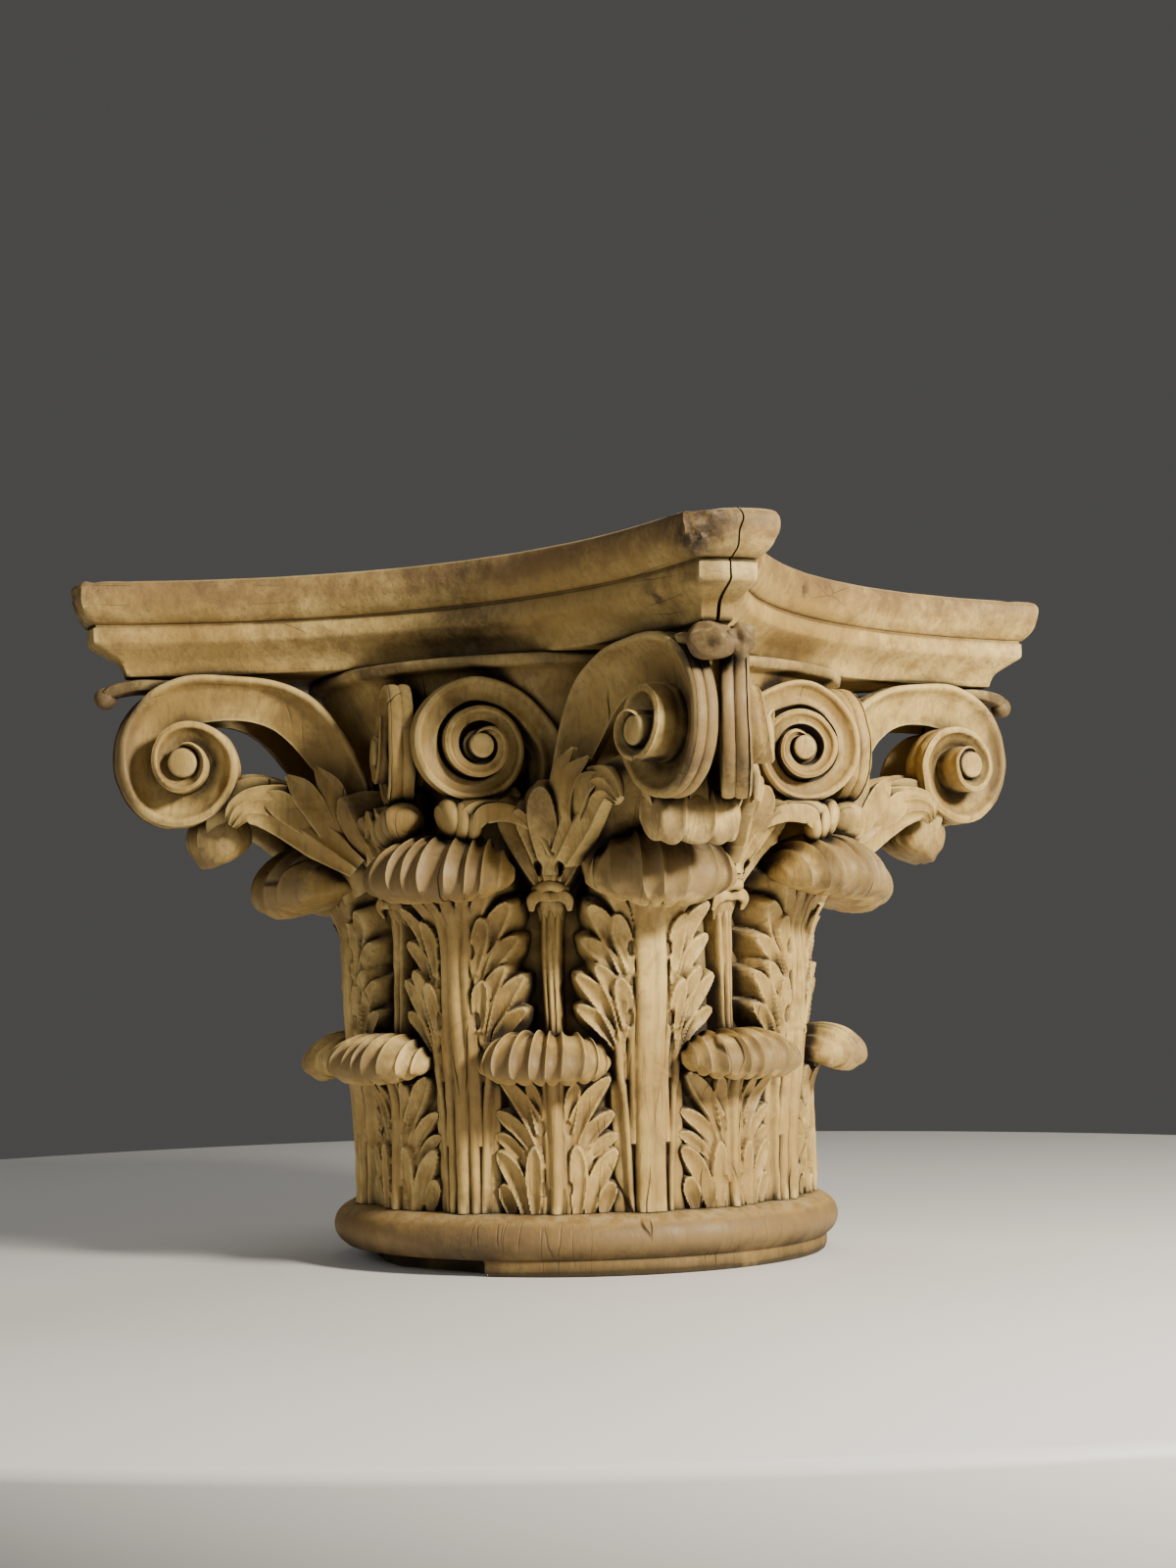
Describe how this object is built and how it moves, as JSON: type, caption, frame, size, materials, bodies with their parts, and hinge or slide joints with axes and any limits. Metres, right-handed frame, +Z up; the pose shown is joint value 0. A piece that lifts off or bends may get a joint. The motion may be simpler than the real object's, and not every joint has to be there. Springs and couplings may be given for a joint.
{
  "type": "carved corinthian capital",
  "caption": "Carved wooden Corinthian capital: hollow-sided abacus, bell with two tiers of acanthus leaves, inner helices and corner volutes, on a turned astragal ring.",
  "frame": {"origin": "middle of the underside of the astragal ring, on the capital's axis", "axes": "+Z up; the four hollow sides of the abacus face along X and Y, so its corners and the corner volutes stand on the diagonals"},
  "size_m": [0.3916, 0.3916, 0.336],
  "materials": {
    "abacus_wood": "old worn limewash and wax on carved softwood, dark in the hollows and rubbed on the ovolo",
    "carved_wood": "old worn limewash and wax over carved wood, dark grime in the cuts, rubbed grey-brown leaf tips",
    "ring_wood": "rubbed and scuffed old wood with a dusty upper edge and age cracks"
  },
  "bodies": {
    "root": {"abacus": "abacus_wood", "carved_bell": "carved_wood", "astragal_ring": "ring_wood"}
  },
  "joints": []
}
